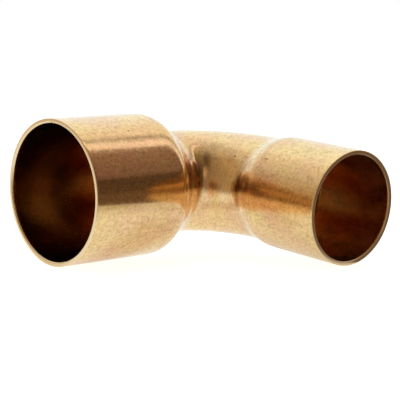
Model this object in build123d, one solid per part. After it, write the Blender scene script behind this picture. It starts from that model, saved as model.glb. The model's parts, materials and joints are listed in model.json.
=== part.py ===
from build123d import *

import os
from math import cos, radians, sin, tan

# Wrought copper reducing elbow, 90 degrees, with solder sockets for 1 in and 3/4 in tube.
#
# The fitting is one seamless piece: a length of copper tube is bent, then each end is
# expanded over a mandrel into a socket. Nothing is joined on, so the model is one solid.
#
# Units are millimetres and degrees. The origin is the centre of the large socket's mouth.
# The large socket opens along +X, the small socket opens along +Y, and the plane of the
# bend is Z = 0.

# Sockets, sized by the tube that each one takes.
LARGE_TUBE_OD = 28.575
SMALL_TUBE_OD = 22.225
LARGE_CAPILLARY_GAP = 0.0625  # radial, filled by solder
SMALL_CAPILLARY_GAP = 0.0675
LARGE_SOCKET_DEPTH = 23.1
SMALL_SOCKET_DEPTH = 19.4
LARGE_SOCKET_WALL = 0.97
SMALL_SOCKET_WALL = 0.93

# The bend, which keeps the size of the tube that the fitting is made from.
NECK_OUTER_RADIUS = 11.11
NECK_WALL = 1.08
BEND_RADIUS = 17.2  # centreline
LARGE_CENTRE_TO_MOUTH = 46.3
SMALL_CENTRE_TO_MOUTH = 41.1

# The shoulders, where each socket narrows to the neck. Radii are on the outer surface.
LARGE_SHOULDER_ANGLE = 50.0
LARGE_SHOULDER_CROWN = 3.0
LARGE_SHOULDER_ROOT = 1.5
SMALL_SHOULDER_ANGLE = 30.0
SMALL_SHOULDER_CROWN = 3.5
SMALL_SHOULDER_ROOT = 1.6

# The cut ends, lightly deburred.
RIM_OUTER_ROUND = 0.18
RIM_INNER_BEVEL = 0.22


def wall_line(neck_radius, socket_radius, socket_corner, end, angle, root, crown):
    """One side of a leg's wall, from the bend at X = 0 out to X = end, as joined edges.

    The neck, the cone and the socket are straight, and tangent arcs round the two corners
    between them. socket_corner is where the cone and the socket would meet.
    """
    half = tan(radians(angle) / 2)
    neck_corner = socket_corner - (socket_radius - neck_radius) / tan(radians(angle))
    cone = Vector(cos(radians(angle)), sin(radians(angle)))

    neck = Line((0, neck_radius), (neck_corner - root * half, neck_radius))
    root_arc = JernArc(neck @ 1, (1, 0), root, angle)
    shoulder = Line(root_arc @ 1, Vector(socket_corner, socket_radius) - cone * crown * half)
    crown_arc = JernArc(shoulder @ 1, cone, crown, -angle)
    socket = Line(crown_arc @ 1, (end, socket_radius))
    return [neck, root_arc, shoulder, crown_arc, socket]


def wall_section(leg_length, bore_radius, wall, socket_depth, angle, crown, root):
    """Half section of one leg's wall, in XY: X runs along the axis from the bend to the mouth."""
    half = tan(radians(angle) / 2)
    outer_radius = bore_radius + wall
    inner_crown = crown - wall

    # The tube stops where the bore's crown arc begins, so the corner stands just beyond that.
    bore_corner = leg_length - socket_depth - inner_crown * half
    bore = wall_line(
        NECK_OUTER_RADIUS - NECK_WALL,
        bore_radius,
        bore_corner,
        leg_length - RIM_INNER_BEVEL,
        angle,
        root + wall,
        inner_crown,
    )
    outside = wall_line(
        NECK_OUTER_RADIUS,
        outer_radius,
        bore_corner - wall * half,
        leg_length - RIM_OUTER_ROUND,
        angle,
        root,
        crown,
    )
    rim_round = JernArc(outside[-1] @ 1, (1, 0), RIM_OUTER_ROUND, -90)
    rim = Polyline(rim_round @ 1, (leg_length, bore_radius + RIM_INNER_BEVEL), bore[-1] @ 1)
    bend_end = Line(outside[0] @ 0, bore[0] @ 0)
    edges = [edge for line in [*outside, rim_round, rim, *bore, bend_end] for edge in line.edges()]
    return make_face(edges)


def large_leg():
    """The large socket, its shoulder and its neck, along +X, with the bend's end at X = 0."""
    section = wall_section(
        LARGE_CENTRE_TO_MOUTH - BEND_RADIUS,
        LARGE_TUBE_OD / 2 + LARGE_CAPILLARY_GAP,
        LARGE_SOCKET_WALL,
        LARGE_SOCKET_DEPTH,
        LARGE_SHOULDER_ANGLE,
        LARGE_SHOULDER_CROWN,
        LARGE_SHOULDER_ROOT,
    )
    return revolve(section, Axis.X)


def small_leg():
    """The small socket, its shoulder and its neck, along +X, with the bend's end at X = 0."""
    section = wall_section(
        SMALL_CENTRE_TO_MOUTH - BEND_RADIUS,
        SMALL_TUBE_OD / 2 + SMALL_CAPILLARY_GAP,
        SMALL_SOCKET_WALL,
        SMALL_SOCKET_DEPTH,
        SMALL_SHOULDER_ANGLE,
        SMALL_SHOULDER_CROWN,
        SMALL_SHOULDER_ROOT,
    )
    return revolve(section, Axis.X)


def bend():
    """The quarter turn of plain tube, from the large leg at -Y to the small leg at -X of its centre."""
    ring = Circle(NECK_OUTER_RADIUS) - Circle(NECK_OUTER_RADIUS - NECK_WALL)
    start = Plane(origin=(0, -BEND_RADIUS, 0), z_dir=(-1, 0, 0))
    return revolve(start * ring, Axis((0, 0, 0), (0, 0, -1)), revolution_arc=90)


def elbow_body():
    """The whole fitting, one solid, with its origin at the centre of the large mouth."""
    bend_centre = Location((BEND_RADIUS - LARGE_CENTRE_TO_MOUTH, BEND_RADIUS, 0))
    large_start = Location((BEND_RADIUS - LARGE_CENTRE_TO_MOUTH, 0, 0))
    small_start = Location((-LARGE_CENTRE_TO_MOUTH, BEND_RADIUS, 0), (0, 0, 90))
    return large_start * large_leg() + bend_centre * bend() + small_start * small_leg()


def main():
    os.makedirs("parts", exist_ok=True)
    export_step(elbow_body(), "parts/elbow_body.step")


main()
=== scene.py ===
import json
from math import asin, atan2, cos, hypot, pi, radians, sin, tan

import bpy
import numpy as np
from mathutils import Matrix, Vector


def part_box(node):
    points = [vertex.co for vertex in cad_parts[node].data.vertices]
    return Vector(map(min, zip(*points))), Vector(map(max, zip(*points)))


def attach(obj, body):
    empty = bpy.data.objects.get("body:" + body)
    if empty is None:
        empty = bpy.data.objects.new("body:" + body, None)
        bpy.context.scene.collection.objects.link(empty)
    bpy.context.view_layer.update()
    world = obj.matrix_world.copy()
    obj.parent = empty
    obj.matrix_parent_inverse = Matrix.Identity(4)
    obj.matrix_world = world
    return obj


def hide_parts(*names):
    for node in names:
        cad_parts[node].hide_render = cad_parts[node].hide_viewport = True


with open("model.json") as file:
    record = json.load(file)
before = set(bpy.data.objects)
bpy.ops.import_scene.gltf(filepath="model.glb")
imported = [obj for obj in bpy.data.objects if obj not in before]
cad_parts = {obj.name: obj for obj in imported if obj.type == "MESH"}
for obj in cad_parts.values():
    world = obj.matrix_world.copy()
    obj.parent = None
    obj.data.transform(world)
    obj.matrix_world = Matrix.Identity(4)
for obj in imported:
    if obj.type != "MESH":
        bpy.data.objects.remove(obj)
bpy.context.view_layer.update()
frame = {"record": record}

# A wrought copper reducing elbow. Lengths are in millimetres until a mesh is made, and the
# origin is the centre of the large mouth, as in the frame. A point of the tube is given by its
# place, the distance along the tube from the large mouth, and its angle round the tube, which is
# 0 on the outside of the bend, 90 on top and 180 on the inside of the bend.
MM = 0.001

# ---------------------------------------------------------------- sizes, from the frame
mounts = {mount["name"]: mount for mount in frame["record"]["mounts"]}
large_mount, small_mount = mounts["large_socket"], mounts["small_socket"]
box_low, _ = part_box("elbow_body")

LARGE_BORE_RADIUS = large_mount["dims"]["r_mm"]
SMALL_BORE_RADIUS = small_mount["dims"]["r_mm"]
LARGE_CENTRE_TO_MOUTH = -small_mount["pos_m"][0] / MM
SMALL_CENTRE_TO_MOUTH = small_mount["pos_m"][1] / MM
LARGE_OUTER_RADIUS = -box_low.y / MM
SMALL_OUTER_RADIUS = -box_low.x / MM - LARGE_CENTRE_TO_MOUTH

# ------------------------------------------- sizes that the frame doesn't state, as in CAD
RIM_INNER_BEVEL = 0.22
LARGE_SOCKET_DEPTH = large_mount["dims"]["length_mm"] + RIM_INNER_BEVEL
SMALL_SOCKET_DEPTH = small_mount["dims"]["length_mm"] + RIM_INNER_BEVEL
RIM_OUTER_ROUND = 0.18
NECK_OUTER_RADIUS = 11.11
NECK_WALL = 1.08
BEND_RADIUS = 17.2
LARGE_SHOULDER = {"angle": 50.0, "crown": 3.0, "root": 1.5}
SMALL_SHOULDER = {"angle": 30.0, "crown": 3.5, "root": 1.6}

LARGE_LEG = LARGE_CENTRE_TO_MOUTH - BEND_RADIUS
SMALL_LEG = SMALL_CENTRE_TO_MOUTH - BEND_RADIUS
BEND_START = LARGE_LEG
BEND_END = LARGE_LEG + BEND_RADIUS * pi / 2
TUBE_LENGTH = BEND_END + SMALL_LEG

# ------------------------------------------------------------------------ mesh fineness
AROUND = 168
STEP = 0.42  # between rings along the tube
RIM_STEP = 0.15  # across a cut end
BEVEL_STEP = 0.08
ARC_PARTS = 10  # per shoulder arc
RIM_PARTS = 4  # per rim round


# ================================================================== the line round the wall
def arc_points(start, heading, radius, turn, parts):
    """Points along an arc that leaves start at the angle heading and turns by turn."""
    side = 1 if turn > 0 else -1
    centre = (start[0] - side * radius * sin(heading), start[1] + side * radius * cos(heading))
    points = []
    for i in range(1, parts + 1):
        angle = heading + turn * i / parts
        points.append((centre[0] + side * radius * sin(angle), centre[1] - side * radius * cos(angle)))
    return points


def line_points(start, end, step=STEP):
    """Points from start to end, start left out, about step apart."""
    parts = max(1, round(hypot(end[0] - start[0], end[1] - start[1]) / step))
    return [
        (start[0] + (end[0] - start[0]) * i / parts, start[1] + (end[1] - start[1]) * i / parts)
        for i in range(1, parts + 1)
    ]


def neck_corner(neck, socket, corner, angle):
    """Where the shoulder's cone would meet the neck."""
    return corner - (socket - neck) / tan(radians(angle))


def wall_line(neck, socket, corner, end, angle, root, crown):
    """(distance from the bend, radius) along one side of a leg's wall, from the bend out."""
    half = tan(radians(angle) / 2)
    turn = radians(angle)
    points = line_points((0.0, neck), (neck_corner(neck, socket, corner, angle) - root * half, neck))
    points += arc_points(points[-1], 0.0, root, turn, ARC_PARTS)
    shoulder_end = (corner - crown * half * cos(turn), socket - crown * half * sin(turn))
    points += line_points(points[-1], shoulder_end)
    points += arc_points(points[-1], turn, crown, -turn, ARC_PARTS)
    return points + line_points(points[-1], (end, socket))


def socket_corners(length, bore, outer, depth, shoulder):
    """Distance from the bend of the corner between cone and socket, on the bore and outside."""
    wall = outer - bore
    half = tan(radians(shoulder["angle"]) / 2)
    bore_corner = length - depth - (shoulder["crown"] - wall) * half
    return bore_corner, bore_corner - wall * half


def leg_lines(length, bore, outer, depth, shoulder):
    """A leg's wall as three lines: outside from the bend out, over the rim, and back inside."""
    wall = outer - bore
    bore_corner, outer_corner = socket_corners(length, bore, outer, depth, shoulder)
    outside = wall_line(
        NECK_OUTER_RADIUS, outer, outer_corner, length - RIM_OUTER_ROUND,
        shoulder["angle"], shoulder["root"], shoulder["crown"],
    )
    rim = arc_points(outside[-1], 0.0, RIM_OUTER_ROUND, -pi / 2, RIM_PARTS)
    rim += line_points(rim[-1], (length, bore + RIM_INNER_BEVEL), RIM_STEP)
    rim += line_points(rim[-1], (length - RIM_INNER_BEVEL, bore), BEVEL_STEP)
    inside = wall_line(
        NECK_OUTER_RADIUS - NECK_WALL, bore, bore_corner, length - RIM_INNER_BEVEL,
        shoulder["angle"], shoulder["root"] + wall, shoulder["crown"] - wall,
    )
    return outside, rim, inside[::-1][1:]


LARGE = (LARGE_LEG, LARGE_BORE_RADIUS, LARGE_OUTER_RADIUS, LARGE_SOCKET_DEPTH, LARGE_SHOULDER)
SMALL = (SMALL_LEG, SMALL_BORE_RADIUS, SMALL_OUTER_RADIUS, SMALL_SOCKET_DEPTH, SMALL_SHOULDER)


def root_place(length, bore, outer, depth, shoulder):
    """How far out from the bend the shoulder's root is, on the outer surface."""
    _, outer_corner = socket_corners(length, bore, outer, depth, shoulder)
    return neck_corner(NECK_OUTER_RADIUS, outer, outer_corner, shoulder["angle"])


LARGE_ROOT = LARGE_LEG - root_place(*LARGE)
SMALL_ROOT = BEND_END + root_place(*SMALL)
LARGE_CROWN = LARGE_LEG - socket_corners(*LARGE)[1]
SMALL_CROWN = BEND_END + socket_corners(*SMALL)[1]


def tube_loop():
    """The closed line round the tube's wall, as four arrays.

    They are the place, the radius, 1 inside and 0 outside, and 1 on a rim and 0 elsewhere.
    """
    large_outside, large_rim, large_inside = leg_lines(*LARGE)
    small_outside, small_rim, small_inside = leg_lines(*SMALL)
    bend = [BEND_START] + [place for place, _ in line_points((BEND_START, 0.0), (BEND_END, 0.0))]
    bore = NECK_OUTER_RADIUS - NECK_WALL
    rows = [(LARGE_LEG - x, radius, 0, 0) for x, radius in large_outside[::-1]]
    rows += [(place, NECK_OUTER_RADIUS, 0, 0) for place in bend]
    rows += [(BEND_END + x, radius, 0, 0) for x, radius in small_outside]
    rows += [(BEND_END + x, radius, 0, 1) for x, radius in small_rim]
    rows += [(BEND_END + x, radius, 1, 0) for x, radius in small_inside]
    rows += [(place, bore, 1, 0) for place in bend[::-1]]
    rows += [(LARGE_LEG - x, radius, 1, 0) for x, radius in large_inside[::-1]]
    rows += [(LARGE_LEG - x, radius, 0, 1) for x, radius in large_rim[::-1]]
    return np.array(rows).T


SHOULDER_SOFTNESS = 1.3  # how widely the shoulders' corners are eased by the work
EASED_TO_RIM = 6.0  # easing fades out over this length towards each rim
EASING_STEP = 0.05


def eased(place, radius, inside, rim):
    """The outside's radii, with the corners at the shoulders eased as rolling leaves them."""
    soft = radius.copy()
    outside = (inside == 0) & (rim == 0)
    x, y = place[outside], radius[outside]
    even = np.arange(x[0], x[-1], EASING_STEP)
    level = np.interp(even, x, y)
    for i in np.flatnonzero(outside):
        room = min(place[i] - x[0], x[-1] - place[i], EASED_TO_RIM) / EASED_TO_RIM
        weight = np.exp(-0.5 * ((even - place[i]) / (SHOULDER_SOFTNESS * room + 0.01)) ** 2)
        soft[i] = (level * weight).sum() / weight.sum()
    return soft


def centreline(place):
    """Centre of the tube at a place, and the direction out of the bend there."""
    if place <= BEND_START:
        return Vector((-place, 0.0, 0.0)), Vector((0.0, -1.0, 0.0))
    if place >= BEND_END:
        along = BEND_RADIUS + place - BEND_END
        return Vector((-LARGE_CENTRE_TO_MOUTH, along, 0.0)), Vector((-1.0, 0.0, 0.0))
    turn = (place - BEND_START) / BEND_RADIUS
    out = Vector((-sin(turn), -cos(turn), 0.0))
    return Vector((-BEND_START, BEND_RADIUS, 0.0)) + out * BEND_RADIUS, out


# ================================================================== how the metal was worked
def hill(x, centre, width):
    """A smooth bump of height 1."""
    return np.exp(-(((x - centre) / width) ** 2))


# Bending gathers metal on the inside of the bend, where it lies as a flat that faces the open
# side. The flat starts a little past the large shoulder and ends at the small one.
FLAT_START = Vector((-31.6, 11.3, 0.0))
FLAT_END = Vector((-35.2, 19.0, 0.0))
FLAT_BLEND = 0.36  # how softly it leaves the round tube
FLAT_SPREAD = 1.6  # how quickly it falls off round the tube
ROOT_FILL = 0.55  # metal that fills the large shoulder's root on that side
OUTER_FLATTENING = 0.12  # of the bend's outer side
SOCKET_MARGIN = 0.010  # keeps round sockets inside the box of the frame's faceted ones
FLUTE_DEPTH = 0.022  # left on the sockets by the expander's segments


def gathered(place):
    """How far the inner side of the bend stands proud of the round tube at a place."""
    centre, out = centreline(place)
    along = FLAT_END - FLAT_START
    normal = Vector((along.y, -along.x, 0.0)).normalized()
    slant = max(normal.dot(-out), 0.2)
    proud = normal.dot(FLAT_START - centre) / slant - NECK_OUTER_RADIUS
    proud = FLAT_BLEND * np.log1p(np.exp(min(proud / FLAT_BLEND, 50.0)))
    if place < BEND_START or place > SMALL_ROOT + 3:
        proud = 0.0
    return proud + ROOT_FILL * hill(place, BEND_START + 0.6, 2.4)


def worked_radius(place, radius, angles, inside):
    """The radius all round at one place, with the marks that bending and expanding leave.

    On the sockets, whose outside touches the frame's box, every mark goes inwards.
    """
    in_bend = hill(place, (BEND_START + BEND_END) / 2, BEND_RADIUS * 0.6)
    radius = radius - OUTER_FLATTENING * in_bend * np.clip(np.cos(angles), 0, 1) ** 2
    if not inside:
        radius = radius + gathered(place) * np.clip(-np.cos(angles), 0, 1) ** FLAT_SPREAD
    in_socket = 1 / (1 + np.exp((place - LARGE_CROWN + 2.0) * 1.6))
    in_socket += 1 / (1 + np.exp((SMALL_CROWN + 2.0 - place) * 1.6))
    flutes = 0.5 + 0.3 * np.cos(6 * angles + 0.4) + 0.2 * np.cos(4 * angles + 1.9)
    return radius - in_socket * (SOCKET_MARGIN + FLUTE_DEPTH * flutes)


def rim_wave(angles, phase):
    """How far a mouth's sawn and deburred edge stands back, round the mouth."""
    long_wave = 0.020 * np.sin(2 * angles + phase)
    short_wave = 0.015 * np.sin(5 * angles + 2.1 * phase)
    return 0.035 + long_wave + short_wave


def copper_mesh():
    """The tube's wall as one closed grid of quads, with the attributes that its material reads."""
    place, radius, inside, rim = tube_loop()
    radius = eased(place, radius, inside, rim)
    rings = len(place)
    angles = np.arange(AROUND) * 2 * pi / AROUND
    verts = np.zeros((rings, AROUND, 3))
    tube = np.zeros((rings, AROUND, 3))
    depth = np.zeros((rings, AROUND))
    for i in range(rings):
        centre, out = centreline(place[i])
        radii = worked_radius(place[i], radius[i], angles, inside[i])
        along = np.array((-out.y, out.x, 0.0))
        near_large, near_small = np.exp(-place[i]), np.exp(place[i] - TUBE_LENGTH)
        shift = near_small * rim_wave(angles, 0.8) - near_large * rim_wave(angles, 2.9)
        ring = np.outer(radii * np.cos(angles), out)
        ring += np.outer(radii * np.sin(angles), (0, 0, 1))
        verts[i] = np.array(centre) + ring + np.outer(shift, along)
        tube[i, :, 0] = radius[i] * np.cos(angles)
        tube[i, :, 1] = radius[i] * np.sin(angles)
        tube[i, :, 2] = place[i]
        depth[i] = inside[i] * min(place[i], TUBE_LENGTH - place[i])
    rows, columns = np.meshgrid(np.arange(rings), np.arange(AROUND), indexing="ij")
    next_row, next_column = (rows + 1) % rings, (columns + 1) % AROUND
    faces = np.stack([
        rows * AROUND + columns, rows * AROUND + next_column,
        next_row * AROUND + next_column, next_row * AROUND + columns,
    ], axis=-1).reshape(-1, 4)
    mesh = bpy.data.meshes.new("copper_elbow")
    mesh.from_pydata((verts.reshape(-1, 3) * MM).tolist(), [], faces.tolist())
    mesh.polygons.foreach_set("use_smooth", [True] * len(faces))
    mesh.attributes.new("tube", "FLOAT_VECTOR", "POINT").data.foreach_set("vector", tube.ravel())
    mesh.attributes.new("depth", "FLOAT", "POINT").data.foreach_set("value", depth.ravel())
    mesh.attributes.new("rim", "FLOAT", "POINT").data.foreach_set("value", np.repeat(rim, AROUND))
    mesh.update()
    return mesh


# ================================================================== node helpers
class Nodes:
    """Short ways to add shader nodes to one tree.

    An input may be a number, a colour, a vector or another node's output socket.
    """

    def __init__(self, tree):
        self.tree = tree
        tree.nodes.clear()

    def add(self, kind, inputs=(), **settings):
        node = self.tree.nodes.new("ShaderNode" + kind)
        for name, value in settings.items():
            setattr(node, name, value)
        for key, value in dict(inputs).items():
            if isinstance(value, bpy.types.NodeSocket):
                self.tree.links.new(value, node.inputs[key])
            elif isinstance(value, tuple) and node.inputs[key].type == "RGBA" and len(value) == 3:
                node.inputs[key].default_value = (*value, 1.0)
            else:
                node.inputs[key].default_value = value
        return node

    def math(self, operation, a, b=0.0):
        return self.add("Math", {0: a, 1: b}, operation=operation).outputs[0]

    def attribute(self, name, output):
        return self.add("Attribute", attribute_name=name).outputs[output]

    def stretch(self, vector, scale, offset=(0.0, 0.0, 0.0)):
        moved = self.add("VectorMath", {0: vector, 1: offset}, operation="ADD").outputs[0]
        return self.add("VectorMath", {0: moved, 1: scale}, operation="MULTIPLY").outputs[0]

    def noise(self, vector, scale, detail=3.0, roughness=0.55):
        inputs = {"Vector": vector, "Scale": scale, "Detail": detail, "Roughness": roughness}
        return self.add("TexNoise", inputs, noise_dimensions="3D").outputs[0]

    def ramp(self, value, low, high, to_low=0.0, to_high=1.0):
        inputs = {"Value": value, 1: low, 2: high, 3: to_low, 4: to_high}
        return self.add("MapRange", inputs, interpolation_type="SMOOTHSTEP").outputs[0]

    def mix(self, factor, a, b, blend="MIX"):
        node = self.add("Mix", {0: factor, 6: a, 7: b}, data_type="RGBA", blend_type=blend)
        return node.outputs[2]

    def multiply(self, colour, low, high, value):
        """colour times a grey that goes from low to high as value goes from 0 to 1."""
        grey = self.add("MapRange", {"Value": value, 3: low, 4: high}).outputs[0]
        return self.mix(1.0, colour, grey, "MULTIPLY")


# ================================================================== copper
RELIEF = 0.02  # height of the surface's finest unevenness
GOLD_COPPER = (0.94, 0.615, 0.275)
ROSE_COPPER = (0.90, 0.53, 0.285)
HONEY_COPPER = (0.88, 0.615, 0.255)
# brown, for tarnish flecks and tool lines, and for the smears, one of which is a painted dark
# reflection line
BROWN_TARNISH_AND_SHADE = (0.46, 0.25, 0.10)
# whitish copper for the painted highlight ring on the shoulders
SHEEN_WHITE_COPPER = (0.97, 0.90, 0.80)
# dark brown, for real spots and for the painted shade in the roots' hollows
DARK_STAIN_AND_SHADE = (0.10, 0.06, 0.03)
LARGE_MOUTH_OXIDE = (0.20, 0.11, 0.05)
SMALL_MOUTH_OXIDE = (0.66, 0.40, 0.18)
DEEP_OXIDE = (0.78, 0.37, 0.10)
RIM_COPPER = (0.96, 0.70, 0.40)

# How far out from a mark's middle it has its full strength, as a part of its half size.
SPOT_EDGE = 0.5
SMEAR_EDGE = 0.2
ROOT_SHADE_EDGE = 0.1

# Small marks on the outside: place, angle, half length along the tube, half width round it,
# and strength.
SPOTS = [
    (13.3, 120, 0.35, 0.25, 0.9),
    (13.8, -165, 0.2, 0.15, 0.6),
    (62.8, 137, 0.8, 0.25, 0.6),
    (51.7, 141, 0.5, 0.4, 0.7),
    (46.8, 164, 0.35, 0.3, 0.55),
    (47.4, 175, 0.35, 0.3, 0.6),
    (12.35, -160.5, 0.12, 1.0, 0.5),
]
# Broad darker brown smears, with the same numbers. The long thin one along the large socket is a
# painted dark reflection line.
SMEARS = [
    (38.4, 146, 2.4, 3.2, 0.70),
    (41.5, 130, 2.6, 1.8, 0.40),
    (49.5, 143, 2.5, 2.5, 0.35),
    (57.0, 170, 1.2, 5.0, 0.60),
    # a painted dark reflection line along the large socket
    (14.0, 128, 9.0, 0.5, 0.30),
]
# Painted shade: dark marks in the two hollows at the shoulders' roots, on the inside of the bend, and
# beside them, where the metal shows shade and dark reflections.
PAINTED_ROOT_SHADE = [
    (33.0, 168, 2.6, 8.0, 0.62),
    (37.0, 152, 2.4, 3.6, 0.40),
    (57.4, 172, 1.3, 5.5, 0.40),
]


def mark(nodes, tube, place, angle, length, width, edge):
    """1 in the middle of a mark on the outer surface, falling to 0 at its half size."""
    radius = NECK_OUTER_RADIUS
    if place < LARGE_CROWN:
        radius = LARGE_OUTER_RADIUS
    elif place > SMALL_CROWN:
        radius = SMALL_OUTER_RADIUS
    centre = (-radius * cos(radians(angle)), -radius * sin(radians(angle)), -place)
    scaled = nodes.stretch(tube, (1 / width, 1 / width, 1 / length), centre)
    distance = nodes.add("VectorMath", {0: scaled}, operation="LENGTH").outputs["Value"]
    return nodes.ramp(distance, 1.0, edge, 0.0, 1.0)


def marked(nodes, tube, colour, marks, edge, tint, presence):
    """colour with marks of one kind in the colour tint, as far as presence lets them show."""
    for place, angle, length, width, strength in marks:
        amount = mark(nodes, tube, place, angle, length, width, edge)
        amount = nodes.math("MULTIPLY", amount, presence)
        colour = nodes.mix(nodes.math("MULTIPLY", amount, strength), colour, tint)
    return colour


def copper_material():
    """Bare copper outside, with drawing marks, tarnish and darker smears, a painted highlight ring on
    the shoulders and painted shade in the roots' hollows, and oxide inside the mouths.
    """
    material = bpy.data.materials.new("drawn_copper")
    material.use_nodes = True
    nodes = Nodes(material.node_tree)
    tube = nodes.attribute("tube", "Vector")
    depth = nodes.attribute("depth", "Fac")
    rim = nodes.attribute("rim", "Fac")
    place = nodes.add("SeparateXYZ", {0: tube}).outputs["Z"]

    patches = nodes.noise(tube, 0.11, 4.0)
    tarnish = nodes.noise(nodes.stretch(tube, (1, 1, 0.7), (31, 7, 12)), 0.17, 5.0, 0.62)
    draw_lines = nodes.noise(nodes.stretch(tube, (1, 1, 0.035)), 1.5, 3.0)
    hoops = nodes.noise(nodes.stretch(tube, (0.08, 0.08, 1)), 1.8, 2.0)
    grain = nodes.noise(tube, 1.7, 4.0, 0.7)
    flecks = nodes.noise(nodes.stretch(tube, (1, 1, 0.8), (5, 3, 9)), 0.8, 4.0, 0.65)

    # The metal was rubbed near the two shoulders as the ends were expanded.
    between = nodes.math(
        "MINIMUM",
        nodes.ramp(place, LARGE_CROWN - 9, LARGE_CROWN + 1),
        nodes.ramp(place, SMALL_CROWN + 9, SMALL_CROWN - 1),
    )
    off_neck = nodes.math(
        "MAXIMUM",
        nodes.ramp(place, LARGE_ROOT + 6, LARGE_ROOT),
        nodes.ramp(place, SMALL_ROOT - 6, SMALL_ROOT),
    )
    rubbed = nodes.math("MINIMUM", between, off_neck)
    # A painted highlight: a whitish ring of colour on each shoulder, most on top, stands in for the
    # bright sheen reflected there.
    up = nodes.ramp(nodes.add("SeparateXYZ", {0: tube}).outputs["Y"], 0.0, 12.0, 0.35, 1.0)
    large_ring = nodes.math(
        "MULTIPLY",
        nodes.ramp(place, LARGE_CROWN - 1.8, LARGE_CROWN + 0.6),
        nodes.ramp(place, LARGE_ROOT + 2.2, LARGE_ROOT - 0.2),
    )
    small_ring = nodes.math(
        "MULTIPLY",
        nodes.ramp(place, SMALL_ROOT - 1.8, SMALL_ROOT + 0.2),
        nodes.ramp(place, SMALL_ROOT + 3.6, SMALL_ROOT + 0.8, 0.0, 0.6),
    )
    painted_sheen = nodes.math("MULTIPLY", nodes.math("ADD", large_ring, small_ring), up)
    painted_sheen = nodes.math("MULTIPLY", painted_sheen, nodes.ramp(flecks, 0.62, 0.40, 0.35, 1.0))

    colour = nodes.mix(nodes.ramp(patches, 0.42, 0.66, 0.0, 0.8), GOLD_COPPER, ROSE_COPPER)
    colour = nodes.mix(nodes.ramp(tarnish, 0.5, 0.7, 0.0, 0.8), colour, HONEY_COPPER)
    colour = nodes.mix(nodes.ramp(flecks, 0.44, 0.74, 0.0, 0.34), colour, BROWN_TARNISH_AND_SHADE)
    colour = nodes.multiply(colour, 0.86, 1.12, draw_lines)
    colour = nodes.multiply(colour, 0.78, 1.16, nodes.ramp(grain, 0.28, 0.68))
    hoop_amount = nodes.math("MULTIPLY", rubbed, nodes.ramp(hoops, 0.42, 0.66))
    colour = nodes.mix(nodes.math("MULTIPLY", hoop_amount, 0.30), colour, BROWN_TARNISH_AND_SHADE)
    # the painted highlight ring on the shoulders
    colour = nodes.mix(nodes.math("MULTIPLY", painted_sheen, 0.6), colour, SHEEN_WHITE_COPPER)
    outside = nodes.ramp(depth, 0.3, 0.05)
    ragged = nodes.ramp(flecks, 0.3, 0.6, 0.6, 1.0)
    patchy = nodes.math("MULTIPLY", ragged, outside)
    colour = marked(nodes, tube, colour, SMEARS, SMEAR_EDGE, BROWN_TARNISH_AND_SHADE, patchy)
    # painted shade in the hollows at the shoulders' roots
    colour = marked(nodes, tube, colour, PAINTED_ROOT_SHADE, ROOT_SHADE_EDGE, DARK_STAIN_AND_SHADE, patchy)
    colour = marked(nodes, tube, colour, SPOTS, SPOT_EDGE, DARK_STAIN_AND_SHADE, outside)

    colour = nodes.mix(nodes.math("MULTIPLY", rim, 0.9), colour, RIM_COPPER)
    mouth = nodes.mix(nodes.ramp(place, 30.0, 50.0), LARGE_MOUTH_OXIDE, SMALL_MOUTH_OXIDE)
    inner = nodes.mix(nodes.ramp(depth, 12.0, 24.0), mouth, DEEP_OXIDE)
    inner = nodes.multiply(inner, 0.65, 1.35, nodes.ramp(tarnish, 0.3, 0.7))
    colour = nodes.mix(nodes.ramp(depth, 0.5, 1.3), colour, inner)

    roughness = nodes.ramp(tarnish, 0.3, 0.7, 0.10, 0.17)
    roughness = nodes.math("ADD", roughness, nodes.ramp(grain, 0.3, 0.8, -0.02, 0.05))
    roughness = nodes.math("ADD", roughness, nodes.math("MULTIPLY", rim, 0.12))
    on_small_socket = nodes.ramp(place, SMALL_ROOT, SMALL_CROWN + 2, 0.0, 0.07)
    roughness = nodes.math("ADD", roughness, on_small_socket)
    roughness = nodes.math("ADD", roughness, nodes.ramp(depth, 0.2, 2.0, 0.0, 0.10))

    hoop_height = nodes.math("MULTIPLY", hoops, rubbed)
    height = nodes.math("MULTIPLY", draw_lines, 0.5)
    height = nodes.math("ADD", height, nodes.math("MULTIPLY", grain, 0.25))
    height = nodes.math("ADD", height, nodes.math("MULTIPLY", hoop_height, 0.8))
    height = nodes.math("ADD", height, nodes.math("MULTIPLY", tarnish, 1.5))
    bump = nodes.add("Bump", {"Strength": 0.5, "Distance": RELIEF * MM, "Height": height})

    normal = bump.outputs[0]
    inputs = {"Base Color": colour, "Metallic": 1.0, "Roughness": roughness, "Normal": normal}
    shader = nodes.add("BsdfPrincipled", inputs)
    nodes.add("OutputMaterial", {"Surface": shader.outputs[0]})
    return material


elbow = bpy.data.objects.new("copper_elbow", copper_mesh())
bpy.context.scene.collection.objects.link(elbow)
elbow.data.materials.append(copper_material())
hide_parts("elbow_body")
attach(elbow, "root")

# ================================================================== resting on the floor
# The fitting lies on the large socket and on the lip of the small one, which dips a little.
reach = hypot(SMALL_CENTRE_TO_MOUTH, SMALL_OUTER_RADIUS)
dip = asin(LARGE_OUTER_RADIUS / reach) - atan2(SMALL_OUTER_RADIUS, SMALL_CENTRE_TO_MOUTH)
floor_up = Vector((0.0, -sin(dip), cos(dip)))

# ================================================================== camera
VIEW_AZIMUTH = 137.73
VIEW_ELEVATION = 10.91
VIEW_DISTANCE = 305.0
AIM = Vector((-26.24, 16.36, -0.87))
LENS = 131.47
SENSOR_WIDTH = 36

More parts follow.
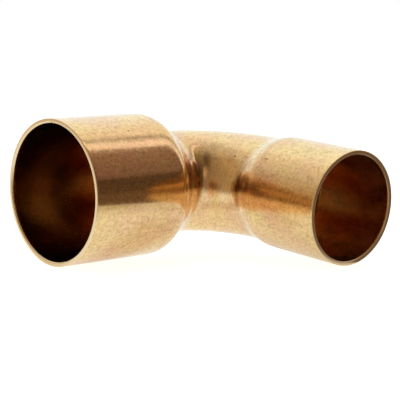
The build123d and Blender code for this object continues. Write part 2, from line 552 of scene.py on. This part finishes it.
azimuth, elevation = radians(VIEW_AZIMUTH), radians(VIEW_ELEVATION)
back = Vector((sin(azimuth) * cos(elevation), -cos(azimuth) * cos(elevation), sin(elevation)))
right = floor_up.cross(back).normalized()
front = right.cross(floor_up)
camera = bpy.data.objects.new("camera", bpy.data.cameras.new("camera"))
camera.data.lens = LENS
camera.data.sensor_width = SENSOR_WIDTH
camera.data.clip_start = 0.01
turned = Matrix((right, back.cross(right), back)).transposed().to_4x4()
camera.matrix_world = Matrix.Translation((AIM + back * VIEW_DISTANCE) * MM) @ turned
bpy.context.scene.collection.objects.link(camera)
bpy.context.scene.camera = camera
bpy.context.scene.view_settings.view_transform = "Standard"

# ================================================================== studio
# What stands round the table, by azimuth in degrees, from the front of the fitting, where the
# camera is, towards picture right. At each azimuth, (elevation, brightness, tint) from below the
# table's level to overhead.
WHITE = (1.0, 1.0, 1.0)
COOL = (1.0, 1.15, 1.24)
LILAC = (0.98, 0.92, 1.04)
TAN = (1.0, 0.78, 0.54)
BROWN = (1.0, 0.64, 0.42)
UMBER = (1.0, 0.68, 0.56)
OVERHEAD = 0.62  # grey, straight up
TENT = [(-20, 1.0, COOL), (60, 1.0, COOL)]
FRONT_WINDOW = [
    (12, 0.28, TAN), (20, 0.60, TAN), (30, 0.55, TAN), (40, 0.25, TAN), (60, 0.22, TAN),
]
DARK_WALL = [
    (-3, 0.14, BROWN), (0, 0.09, BROWN), (15, 0.09, BROWN), (18, 0.21, UMBER), (44, 0.28, UMBER),
    (60, 0.6, TAN),
]
LILAC_STRIP = [(-3, 0.3, LILAC), (15, 0.9, LILAC), (60, 1.2, LILAC)]
SURROUNDINGS = [
    (-180, TENT),
    (-150, TENT),
    (-122, [(-20, 0.85, WHITE), (0, 0.78, WHITE), (60, 0.85, WHITE)]),
    (-98, [(-20, 0.60, TAN), (0, 0.48, TAN), (20, 0.48, TAN), (43, 0.62, WHITE), (60, 0.7, WHITE)]),
    (-60, [(-20, 0.60, TAN), (0, 0.45, TAN), (40, 0.47, TAN), (60, 0.5, TAN)]),
    (-25, [(-20, 0.30, TAN), (0, 0.30, TAN), (20, 0.26, TAN), (60, 0.26, TAN)]),
    (-8, [(-20, 0.26, TAN), *FRONT_WINDOW]),
    (5, [(-20, 0.24, TAN), *FRONT_WINDOW]),
    (30, [(-20, 0.14, BROWN), (20, 0.11, BROWN), (40, 0.17, BROWN), (60, 0.28, TAN)]),
    (75, [(-20, 0.14, BROWN), (20, 0.10, BROWN), (40, 0.17, BROWN), (60, 0.30, TAN)]),
    (80, DARK_WALL),
    (106, DARK_WALL),
    (110, LILAC_STRIP),
    (120, LILAC_STRIP),
    (125, [(-3, 0.4, WHITE), (60, 0.56, WHITE)]),
    (131, [(-3, 0.4, WHITE), (60, 0.60, WHITE)]),
    (136, [(-20, 0.95, WHITE), (60, 0.95, WHITE)]),
    (180, TENT),
]


def elevation_ramp(nodes, rise, stops):
    """The colour up one azimuth. rise goes from 0 straight down to 1 straight up."""
    node = nodes.add("ValToRGB", {"Fac": rise})
    elements = node.color_ramp.elements
    elements[0].position = (stops[0][0] + 90) / 180
    elements[1].position = 1.0
    elements[1].color = (OVERHEAD, OVERHEAD, OVERHEAD, 1)
    for stop, _, _ in stops[1:]:
        elements.new((stop + 90) / 180)
    for element, (_, brightness, tint) in zip(elements, stops):
        element.color = (*(brightness * part for part in tint), 1)
    return node.outputs["Color"]


def studio_world():
    """The room as light from all round: white at the back, dim in front and dark on the right."""
    world = bpy.data.worlds.new("studio")
    world.use_nodes = True
    nodes = Nodes(world.node_tree)
    direction = nodes.add("TexCoord").outputs["Generated"]
    parts = [
        nodes.add("VectorMath", {0: direction, 1: axis}, operation="DOT_PRODUCT").outputs["Value"]
        for axis in (right, front, floor_up)
    ]
    turn = nodes.math("DEGREES", nodes.math("ARCTAN2", parts[0], parts[1]))
    rise = nodes.math("DEGREES", nodes.math("ARCSINE", parts[2]))
    rise = nodes.math("DIVIDE", nodes.math("ADD", rise, 90.0), 180.0)
    colour = elevation_ramp(nodes, rise, SURROUNDINGS[0][1])
    for (low, _), (high, stops) in zip(SURROUNDINGS, SURROUNDINGS[1:]):
        factor = nodes.ramp(turn, low, high)
        colour = nodes.mix(factor, colour, elevation_ramp(nodes, rise, stops))
    seen = nodes.add("LightPath").outputs["Is Camera Ray"]
    colour = nodes.mix(seen, colour, WHITE)
    background = nodes.add("Background", {"Color": colour, "Strength": 1.0})
    nodes.add("OutputWorld", {"Surface": background.outputs[0]})
    return world


bpy.context.scene.world = studio_world()


def flat_plane(name, drop, left_edge, right_edge, back_edge, front_edge):
    """A plane under the fitting, drop millimetres below what it rests on."""
    corners = [
        (left_edge, back_edge), (right_edge, back_edge),
        (right_edge, front_edge), (left_edge, front_edge),
    ]
    base = floor_up * -(LARGE_OUTER_RADIUS + drop)
    mesh = bpy.data.meshes.new(name)
    mesh.from_pydata([(base + right * x + front * y) * MM for x, y in corners], [], [(0, 3, 2, 1)])
    plane = bpy.data.objects.new(name, mesh)
    bpy.context.scene.collection.objects.link(plane)
    return plane


def white_paint(name, grey, glow, see_through_below=False):
    """White paint with some light of its own, which keeps shadows on it faint.

    glow is a colour, or a function that adds nodes and returns the colour's socket.
    """
    material = bpy.data.materials.new(name)
    material.use_nodes = True
    nodes = Nodes(material.node_tree)
    paint = nodes.add("BsdfDiffuse", {"Color": (grey, grey, grey)})
    colour = glow(nodes) if callable(glow) else glow
    light = nodes.add("Emission", {"Color": colour, "Strength": 1.0})
    shader = nodes.add("AddShader", {0: paint.outputs[0], 1: light.outputs[0]}).outputs[0]
    if see_through_below:
        below = nodes.add("NewGeometry").outputs["Backfacing"]
        clear = nodes.add("BsdfTransparent").outputs[0]
        shader = nodes.add("MixShader", {0: below, 1: shader, 2: clear}).outputs[0]
    nodes.add("OutputMaterial", {"Surface": shader})
    return material


TABLE_GLOW = (0.71, 0.82, 0.90)
TABLE_RIGHT_GLOW = (0.42, 0.43, 0.38)
TABLE_SHADE_GLOW = (0.59, 0.61, 0.60)
TABLE_FRONT_GLOW = (0.20, 0.17, 0.13)


def fading_glow(nodes):
    """The table top's glow, which dims to the right and in front and between the sockets."""
    position = nodes.add("NewGeometry").outputs["Position"]
    position = nodes.add("VectorMath", {0: position, "Scale": 1 / MM}, operation="SCALE").outputs[0]
    across, forward = (
        nodes.add("VectorMath", {0: position, 1: axis}, operation="DOT_PRODUCT").outputs["Value"]
        for axis in (right, front)
    )
    clear_of_sockets = nodes.ramp(forward, 4, 12, 0.45, 1.0)
    to_right = nodes.math("MULTIPLY", nodes.ramp(across, 24, 60), clear_of_sockets)
    colour = nodes.mix(to_right, TABLE_GLOW, TABLE_RIGHT_GLOW)
    between = nodes.math("MULTIPLY", nodes.ramp(forward, -11, -5), nodes.ramp(forward, 4, -2))
    between = nodes.math("MULTIPLY", between, nodes.ramp(across, 42, 28))
    colour = nodes.mix(between, colour, TABLE_SHADE_GLOW)
    return nodes.mix(nodes.ramp(forward, 14, 50), colour, TABLE_FRONT_GLOW)


FLOOR_REACH = 3000
TABLE_EDGES = (-260, 64, -300, 75)  # left, right, back and front
TABLE_DROP = 0.05

# The camera sees the floor. The metal reflects the table top just under it, which ends not far
# to the right and in front, where the room is dark.
floor = flat_plane("floor", 0.0, -FLOOR_REACH, FLOOR_REACH, -FLOOR_REACH, FLOOR_REACH)
floor.data.materials.append(white_paint("floor_white", 0.9, (0.8, 0.8, 0.8), see_through_below=True))
floor.visible_diffuse = False
floor.visible_glossy = False
floor.visible_shadow = False
table = flat_plane("table_top", TABLE_DROP, *TABLE_EDGES)
table.data.materials.append(white_paint("table_white", 0.4, fading_glow))
table.visible_camera = False
